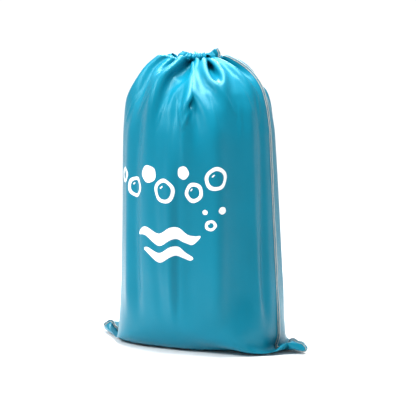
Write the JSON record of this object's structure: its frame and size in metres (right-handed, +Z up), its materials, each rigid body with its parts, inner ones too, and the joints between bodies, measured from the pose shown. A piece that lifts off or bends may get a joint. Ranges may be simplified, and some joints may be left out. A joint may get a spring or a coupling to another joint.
{
  "type": "laundry bag",
  "caption": "Standing filled drawstring laundry bag with a gathered mouth, overlocked seams, sewn bottom corners and a spring cord lock.",
  "frame": {"origin": "on the floor under the middle of the bag", "axes": "+Z up, front with the print towards -Y, +X to the viewer's right"},
  "size_m": [0.58, 0.3862, 0.735],
  "materials": {
    "bag_cloth": "teal-cyan satin-faced woven polyester",
    "seam_thread": "cream overlock thread over the raw cloth edge",
    "print_film": "thin white printed film",
    "black_cord": "black braided polyester cord",
    "lock_plastic": "moulded black acetal",
    "spring_steel": "spring wire"
  },
  "bodies": {
    "bag": {"front_panel": "bag_cloth", "back_panel": "bag_cloth", "left_side_seam": "seam_thread", "right_side_seam": "seam_thread", "bottom_seam": "seam_thread", "casing_stitching": "seam_thread", "printed_motif": "print_film", "drawcord_loop": "black_cord", "right_cord_tail": "black_cord", "left_cord_tail": "black_cord", "tail_knot": "black_cord"},
    "cord_lock": {"lock_barrel": "lock_plastic", "lock_spring": "spring_steel"},
    "lock_button": {"lock_plunger": "lock_plastic"}
  },
  "joints": [
    {"name": "lock_slide", "type": "slide", "parent": "bag", "child": "cord_lock", "axis": [0, 0.866, -0.5], "range_m": [0, 0.03]},
    {"name": "button_press", "type": "slide", "parent": "cord_lock", "child": "lock_button", "axis": [-1, 0, 0], "range_m": [0, 0.004], "stiffness_N_per_m": 800, "springref_m": -0.003, "deforming": ["lock_spring"]}
  ]
}
